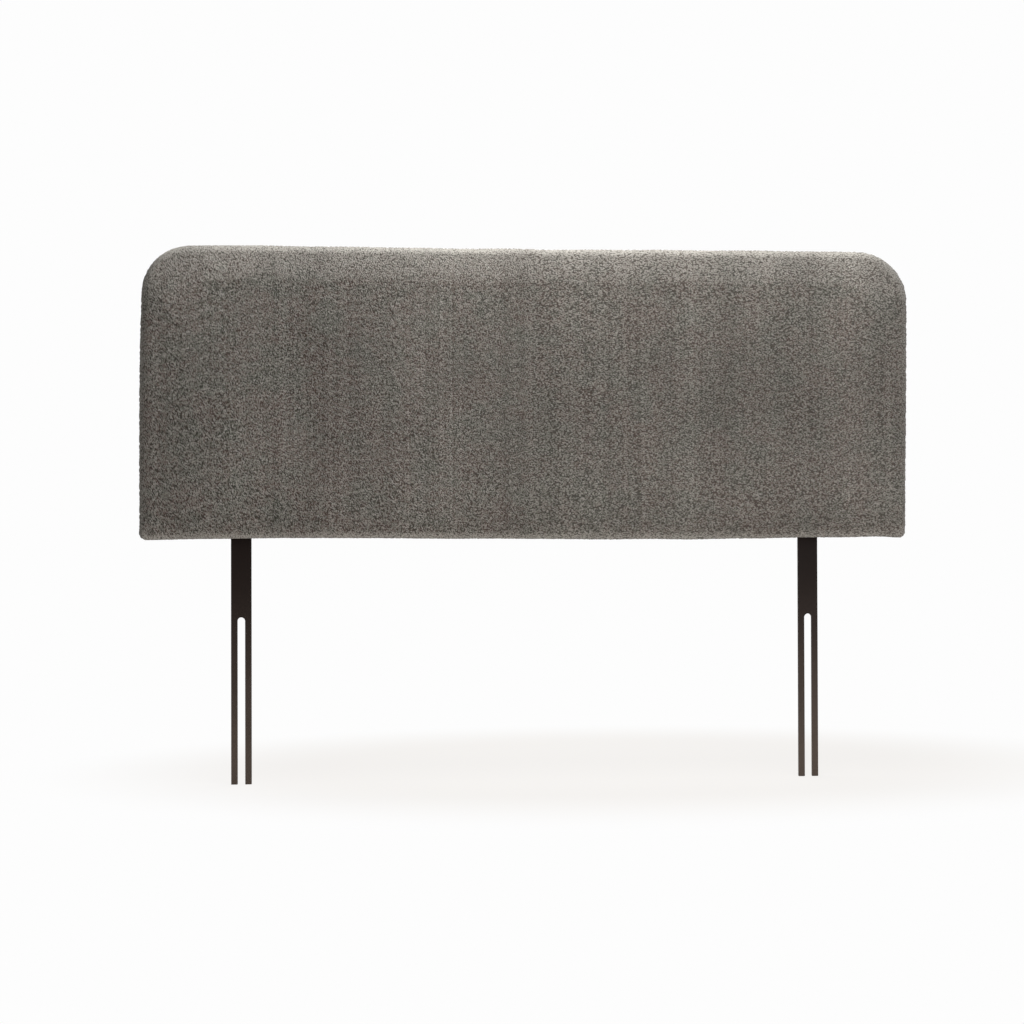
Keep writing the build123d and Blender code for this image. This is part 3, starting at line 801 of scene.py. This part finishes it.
def make_cover(c):
    """The fabric drawn round the panel: outlines at the rim section's insets and depths, a filled
    grid for the face, and an inner wall. Loops, swells, pleats and the hanging lower corners move
    the outer points along their outward directions."""
    (x0, front, z0), (x1, back, z1) = COVER_BOX
    counts, across, up = panel_counts(c, c.step)
    row = c.step * 0.85
    stops = [1, count(c.crown_radius * c.crown_turn, row),
             count(c.roll_radius * (QUARTER - c.crown_turn), row),
             count(back - front - ROLLED_DEPTH, row), 4,
             count(c.hem_width - c.back_radius, row * 1.5)]
    ring, facing, out, (inset, turn, along) = rim_rows(c, 0.0, stops, counts)
    wide = len(out)
    face = filled(ring[:wide], across, up)
    outer = np.vstack([ring, face])
    normal = np.vstack([facing, np.tile((0.0, -1.0, 0.0), (len(face), 1))])

    # Shares of how near the outline a point of the rim is, how far round on to the back, how far
    # under the lining, and how far it looks down
    rim = slice(0, len(ring))
    far_out, on_hem, under, downward = np.zeros((4, len(outer)))
    far_out[rim] = np.repeat(ramp(1 - inset / 0.060), wide)
    on_hem[rim] = np.repeat(ramp(turn - QUARTER, QUARTER), wide)
    lined = ramp(inset - (LINING_INSET - 0.004), 0.004)
    under[rim] = np.repeat(np.where(turn > 3.1, lined, 0), wide)
    downward[rim] = np.tile(ramp(-out[:, 1]), len(turn))

    # Large loops, small curls on them, and stray curls on the sides
    x = outer[:, 0]
    angle = np.interp(x, (x0, 0.0), (c.lean_left, c.lean_right))
    lean = np.stack([np.cos(angle), np.zeros(len(x)), np.sin(angle)], 1)
    place = [v.astype(np.float32) for v in (outer, normal, lean)]
    loops, chance = loop_heap(*place, c.loop_pitch, c.loop_pitch * 0.80, c.stretch,
                              max(1, round(c.repeat / c.loop_pitch)), 11)
    curls, _ = loop_heap(*place, c.curl_pitch, c.curl_pitch * 0.84, c.stretch * 0.9,
                         max(1, round(c.repeat / c.curl_pitch)), 23)
    stray, _ = loop_heap(*(v[rim] for v in place), 0.0065, 0.0026, c.stretch, 7, 37)
    nap = np.minimum(loops * 0.54 + curls * 0.44, 1.0)
    rise = loops * c.loop_height + curls * c.curl_height
    rise = rise - (c.loop_height + c.curl_height) * 0.90
    rise = rise * (1 - 0.35 * on_hem) * (1 - 0.75 * under) + on_hem * (1 - under) * 0.0012
    rise += c.swell * swell(outer, 0.16, 5) * (1 - on_hem)
    rise[rim] += c.stray_height * (stray - 1.1) * np.repeat(ramp(np.sin(turn)) ** 2, wide)

    # Pleats where the turned fabric is gathered at the upper corners
    centre_x = x1 - c.top_radius
    fan = np.arctan2(outer[:, 2] - (z1 - c.top_radius), np.abs(x) - centre_x)
    at_corner = ramp(fan, 0.12) * ramp(QUARTER - fan, 0.12) * (np.abs(x) > centre_x)
    fold = 1 - np.abs(2 * (fan / QUARTER * c.pleats % 1) - 1)
    gathered = at_corner * on_hem * (1 - under)
    rise += (fold**0.6 - 0.5) * c.pleat_height * gathered
    # Painted shade: the nap drops along each pleat's valley, so the gaps' dark colour darkens the
    # crease
    nap -= 0.75 * ramp(1 - fold / 0.30) * gathered * nap

    # The lower edge's wave and its hanging corner, and where the padding is drawn in. The gaps
    # between the loops stay above the wadding.
    wave = c.base_wave * np.sin(2 * math.pi * (x - c.wave_start) / c.wave_length) - c.base_sag
    hanging = c.corner_drop * bell(x1 - 0.008 - x, 0.030)
    lift = (wave - hanging) * downward**0.5 * far_out**1.5
    pressed = press(c, outer, normal)
    room = c.thickness - THINNEST - np.maximum(lift, 0) - np.maximum(pressed - c.squash, 0)
    rise = np.maximum(rise, -np.minimum(c.deepest, room))
    outer = outer + normal * rise[:, None] - normal * (1, 0, 1) * pressed[:, None]
    outer[:, 2] += lift

    # The padding is fuller towards the middle: what it lacks halves every so many millimetres
    # from the top, the sides and the base
    z = outer[:, 2]
    full = halving(z1 - z, 0.040) * halving(x1 - np.abs(x), 0.026) * halving(z - z0, 0.030)
    ahead = ramp(-normal[:, 1])
    outer[:, 1] -= (c.belly * full - c.drawn) * ahead

    # The fabric's inside, from the edge of the hem back to the face
    inner, facing, *_ = rim_rows(c, c.thickness, [1, 3, 5, 3, 2, 3], counts)
    inner = drawn_in(c, inner, facing, c.squash).reshape(-1, wide, 3)[::-1]
    faces, hem = skin_faces(len(turn), wide, across, up)
    walls = np.arange(inner.shape[0] * wide).reshape(-1, wide) + len(outer)
    walls = np.vstack([hem, walls])
    faces = np.vstack([*faces, round_faces(walls)])
    bake = cover_map(across, up, along, wide, len(walls), inner[-1][::-1])
    inner = inner.reshape(-1, 3)
    cover = new_piece("padded_cover", np.vstack([outer, inner]), faces, walls[-1][::-1], bake)

    # What the material reads: the loops, and how far the cloth bends over an edge, turned into
    # painted highlight by which way it faces: most on the top, less on the base, least on the sides
    below, sideways = ramp(-normal[:, 2]), np.abs(normal[:, 0])
    bend_highlight = np.sqrt(2 * ramp(normal[:, 2]) * ahead)
    bend_highlight += 3 * (1 - normal[:, 1] ** 2) * ahead * (0.7 * below + 0.36 * sideways)
    for name, values in zip(("nap", "tone", "strand", "bend_highlight"), (nap, *chance.T, bend_highlight)):
        values = np.append(values, np.zeros(len(inner))).astype(np.float32)
        cover.data.attributes.new(name, "FLOAT", "POINT").data.foreach_set("value", values)
    return cover


def make_wadding(c):
    """The fibre layer under the fabric: two skins, each a rim with a filled face, joined at the
    back. The outer one is drawn in with the fabric, as far as the fibre can be pressed together."""
    counts, across, up = panel_counts(c, c.wadding_step)
    points, faces, edges, start = [], [], [], 0
    for inset, most, way in ((c.thickness, c.squash, 1), (c.thickness + c.wadding, 0.0, -1)):
        ring, facing, out, (_, turn, _) = rim_rows(c, inset, [1, 6, 6, 5], counts)
        ring = drawn_in(c, ring, facing, most)
        skin, edge = skin_faces(len(turn), len(out), across, up, start, way)
        points += [ring, filled(ring[: len(out)], across, up)]
        faces += skin
        edges.append(edge)
        start = sum(map(len, points))
    faces.append(round_faces(np.array(edges)))
    return new_piece("wadding_layer", np.vstack(points), np.vstack(faces))


def staple_places(l, inset):
    """Where the lining's staples are: evenly along the top, the sides and the base, and at equal
    angles round the two upper corners."""
    (_, _, z0), (x1, _, z1) = COVER_BOX
    half, high, low = x1 - inset, z1 - inset, z0 + inset
    radius = TOP_RADIUS - inset

    def spread(run):
        many = max(1, round(run / l.staple_pitch))
        return (np.arange(many) + 0.5) / many

    top = (2 * spread(2 * (half - radius)) - 1) * (half - radius)
    side = low + (high - radius - low) * spread(high - radius - low)
    fan = spread(radius * QUARTER) * QUARTER
    bend_x, bend_z = half - radius + radius * np.sin(fan), high - radius + radius * np.cos(fan)
    foot = (2 * spread(2 * half) - 1) * half
    rows = [(top, high), (half, side), (-half, side), (bend_x, bend_z), (-bend_x, bend_z),
            (foot, low)]
    return np.vstack([np.stack(np.broadcast_arrays(x, z), 1) for x, z in rows])


def make_lining(l):
    """One layer of cloth over the back: a filled outline whose edge rolls under itself. It sinks a
    little between the posts, as a parabola both ways, and is pressed down at every staple;
    Solidify gives its thickness."""
    (x0, under, z0), (x1, over, z1) = LINING_BOX
    top_radius = TOP_RADIUS - LINING_INSET
    counts, across, up = run_counts(2, count(top_radius * math.pi / 4, l.step),
                                    count(x1 - x0 - 2 * l.corner, l.step),
                                    count(z1 - z0 - 0.08, l.step))
    low, high = under + l.thickness / 2, over - l.thickness / 2
    single = (low + high) / 2

    # Rows from inside the fold out to the edge and back under: insets in folds, and depths
    inset = l.fold * np.array(
        [1.35, 1.20, 1.06, 0.94, 0.70, 0.40, 0.12, 0.03, 0, 0.03, 0.12, 0.5, 1])
    depth = np.array([single, single, single + 0.0001, high, high, high, high, high - 0.00008,
                      single, low + 0.00008, low, low, low])
    rows, out = outline(LINING_BOX, counts, inset, depth,
                        np.maximum(top_radius - inset, 0.01), l.corner + 0.2 * inset)
    wide = len(out)
    cloth = np.vstack([rows.reshape(-1, 3), filled(rows[0], across, up)])
    from_middle, z = np.abs(cloth[:, 0]), cloth[:, 2]
    in_bay = (from_middle - BAY_START) / BAY_WIDTH
    from_centre = (z - (z0 + z1) / 2) / ((z1 - z0) / 2)
    bay = ramp(4 * in_bay * (1 - in_bay)) * ramp(1 - from_centre**2)
    edge = np.minimum(np.minimum(x1 - from_middle, z1 - z), z - z0)
    places = staple_places(l, STAPLE_INSET)
    gap = np.sqrt(((cloth[:, None, ::2] - places[None]) ** 2).sum(-1)).min(1)
    ridge = ramp(gap, 0.035) ** 2 * np.exp(-edge / 0.05) - bell(gap, 0.008) * 0.4
    drift = ramp(edge, 0.06) * swell(cloth * (1.0, 1.0, 0.45), 0.11, 31)
    rise = l.pucker * (ridge + 0.8 * drift) - l.sag * bay

    # It lies flat over a leg, sinks only between the posts, and leaves the fold's underside alone
    at_leg = ramp(0.045 - np.abs(from_middle - LEG_CENTRE), 0.015) * (z < LEG_TOP)
    rise *= np.where(rise > 0, 1 - at_leg, ramp(BAY_EDGE - from_middle, 0.02))
    rise[: len(depth) * wide] *= np.repeat(depth >= single, wide)
    cloth[:, 1] += rise
    faces, _ = skin_faces(len(depth), wide, across, up, way=-1)
    lining = new_piece("lining_sheet", cloth, np.vstack(faces))
    skin = lining.modifiers.new("Cloth thickness", "SOLIDIFY")
    skin.thickness, skin.offset = l.thickness, 0.0
    return lining


# Operators
def finish_nodes(names, material):
    """Gives CAD nodes a material, which stands in for each of their own."""
    for name in names:
        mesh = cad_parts[name].data
        mesh.materials.clear()
        mesh.materials.append(material)


class HEADBOARD_OT_cover(bpy.types.Operator):
    """Makes the padded cover in looped fabric"""

    bl_idname = "headboard.make_cover"
    bl_label = "Padded cover"

    def execute(self, context):
        c = context.scene.headboard.cover
        cover = make_cover(c)
        cover.data.materials.append(boucle_fabric(c))
        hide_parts("fabric_cover")
        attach(cover, BODY)
        return {"FINISHED"}


class HEADBOARD_OT_lining(bpy.types.Operator):
    """Makes the thin cloth on the back"""

    bl_idname = "headboard.make_lining"
    bl_label = "Back lining"

    def execute(self, context):
        l = context.scene.headboard.lining
        lining = make_lining(l)
        lining.data.materials.append(lining_cloth(l))
        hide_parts("back_lining")
        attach(lining, BODY)
        return {"FINISHED"}


class HEADBOARD_OT_steel(bpy.types.Operator):
    """Gives the legs their powder coat and the bolts, screws and staples their zinc"""

    bl_idname = "headboard.finish_steel"
    bl_label = "Legs and fixings"

    def execute(self, context):
        c = context.scene.headboard.steel
        names = [f"{side}_{part}" for side in ("left", "right")
                 for part in ("leg_bolts", "flat_washers", "spring_washers", "tee_nuts")]
        names += ["frame_screws", "board_staples", "cover_staples", "lining_staples"]
        finish_nodes(["left_leg", "right_leg"], powder_coat(c))
        finish_nodes(names, zinc_steel(c))
        return {"FINISHED"}


class HEADBOARD_OT_timber(bpy.types.Operator):
    """Gives the frame its pine, plywood, beech and hardboard"""

    bl_idname = "headboard.finish_timber"
    bl_label = "Timber frame"

    def execute(self, context):
        c = context.scene.headboard.inside
        finish_nodes(["bottom_rail", "top_rail"], pine(c, "Pine rail", "X"))
        finish_nodes(["left_stile", "right_stile", "left_leg_post", "right_leg_post",
                      "centre_post"], pine(c, "Pine post", "Z"))
        finish_nodes(["left_corner_block", "right_corner_block"], layered_ply(c))
        finish_nodes(["corner_dowels"], turned_beech(c))
        finish_nodes(["face_board"], pressed_board(c))
        return {"FINISHED"}


class HEADBOARD_OT_padding(bpy.types.Operator):
    """Makes the fibre layer under the cover and gives the foam its cells"""

    bl_idname = "headboard.finish_padding"
    bl_label = "Padding"

    def execute(self, context):
        c = context.scene.headboard.inside
        finish_nodes(["foam_face", "foam_edge_strip"], open_foam(c))
        wadding = make_wadding(context.scene.headboard.cover)
        wadding.data.materials.append(fibre_web(c))
        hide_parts("fibre_wadding")
        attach(wadding, BODY)
        return {"FINISHED"}


class HEADBOARD_OT_stage(bpy.types.Operator):
    """Sets up the floor, the lamps, the background and the camera"""

    bl_idname = "headboard.set_stage"
    bl_label = "Stage"

    def execute(self, context):
        s = context.scene.headboard.stage
        context.scene.view_settings.view_transform = "Standard"
        for add in (add_camera, add_floor, add_lamps, add_background):
            add(s)
        return {"FINISHED"}


def add_camera(s):
    """Stands the camera upright, looking along the depth; then it leans about its own line of
    sight, looks up, and turns about the upright."""
    data = bpy.data.cameras.new("Camera")
    data.lens, data.sensor_width = s.lens, 36.0
    data.clip_start, data.clip_end = 0.05, 100.0
    camera = bpy.data.objects.new("Camera", data)
    camera.matrix_world = (
        Matrix.Translation(s.camera_place) @ Matrix.Rotation(-s.camera_turn, 4, "Z")
        @ Matrix.Rotation(QUARTER + s.camera_rise, 4, "X")
        @ Matrix.Rotation(-s.camera_roll, 4, "Z"))
    bpy.context.scene.collection.objects.link(camera)
    bpy.context.scene.camera = camera


def add_floor(s):
    """A square floor that takes the shadow and fades into the background further off; round the
    legs its own glow is dimmer, a painted shadow.
    """
    at = np.linspace(-s.floor_width / 2, s.floor_width / 2, 9)
    grid = np.stack(np.meshgrid(at, at, 0.0, indexing="ij"), -1)
    floor = new_piece("floor", grid.reshape(-1, 3), grid_faces(np.arange(81).reshape(9, 9)))
    f = Finish("Studio floor")
    middle = f.node("VectorMath", {0: f.place, 1: (0.20, 0.20, 0.0)}, operation="SUBTRACT")
    off = f.node("VectorMath", {0: f.scaled((0.92, 1.65, 1.0), middle)}, "Value",
                 operation="LENGTH")
    away = off.rise(0.55, 1.15)
    share = f.seen_directly() * (0.88 + 0.12 * away)
    lit = f.node("BsdfDiffuse", {"Color": f.mix(f.noise(3.0) * 0.05, s.floor, s.white)})
    # Painted shadow: round the legs the floor glows in the dimmer near colour, fading to white
    # further off
    glow = f.node("Emission", {"Color": f.mix(away, s.near, s.white), "Strength": 1.0})
    f.node("OutputMaterial", {"Surface": f.node("MixShader", {0: share, 1: lit, 2: glow})})
    floor.data.materials.append(f.material)


def add_lamps(s):
    """A lamp above and one in front to the right, each with its place, its aim and its size."""
    for name, power, shade, place, aim, size in (
        ("Overhead lamp", s.overhead_power, s.overhead_tint,
         (0.17, -0.14, 2.10), (0.15, -0.05, 0.9), (1.0, 1.7)),
        ("Front lamp", s.front_power, s.front_tint,
         (2.2, -3.4, 0.8), (0.1, 0.0, 0.75), (2.4, 1.8)),
    ):
        data = bpy.data.lights.new(name, "AREA")
        data.shape = "RECTANGLE"
        data.energy, data.color = power, shade
        data.size, data.size_y = size
        lamp = bpy.data.objects.new(name, data)
        lamp.location = place
        lamp.rotation_euler = (Vector(aim) - Vector(place)).to_track_quat("-Z", "Y").to_euler()
        bpy.context.scene.collection.objects.link(lamp)


def add_background(s):
    """White behind for the camera and for reflections, and soft light for everything else."""
    world = bpy.data.worlds.new("Studio")
    bpy.context.scene.world = world
    f = Finish("Studio", world)
    fill = f.node("Background", {"Color": (1.0, 1.0, 1.0), "Strength": s.fill})
    white = f.node("Background", {"Color": s.white, "Strength": 1.0})
    mixed = f.node("MixShader", {0: f.seen_directly(), 1: fill, 2: white})
    f.node("OutputWorld", {"Surface": mixed})


class HEADBOARD_PT_panel(bpy.types.Panel):
    """Lists the headboard's pieces and their sizes and colours"""

    bl_idname = "HEADBOARD_PT_panel"
    bl_label = "Headboard"
    bl_space_type = "VIEW_3D"
    bl_region_type = "UI"
    bl_category = "Headboard"

    def draw(self, context):
        for operator in OPERATORS:
            self.layout.operator(operator.bl_idname)
        for name in HEADBOARD_PG_settings.__annotations__:
            box = self.layout.box()
            box.label(text=name.title())
            group = getattr(context.scene.headboard, name)
            for key in group.__annotations__:
                box.prop(group, key)


OPERATORS = (
    HEADBOARD_OT_cover, HEADBOARD_OT_lining, HEADBOARD_OT_steel, HEADBOARD_OT_timber,
    HEADBOARD_OT_padding, HEADBOARD_OT_stage,
)
CLASSES = (
    HEADBOARD_PG_cover, HEADBOARD_PG_lining, HEADBOARD_PG_steel, HEADBOARD_PG_inside,
    HEADBOARD_PG_stage, HEADBOARD_PG_settings, *OPERATORS, HEADBOARD_PT_panel,
)


def register():
    for each in CLASSES:
        bpy.utils.register_class(each)
    bpy.types.Scene.headboard = PointerProperty(type=HEADBOARD_PG_settings)


def unregister():
    del bpy.types.Scene.headboard
    for each in reversed(CLASSES):
        bpy.utils.unregister_class(each)


def main():
    """Makes every piece in order."""
    register()
    for operator in OPERATORS:
        getattr(bpy.ops.headboard, operator.bl_idname.split(".")[1])()


if __name__ == "__main__":
    main()
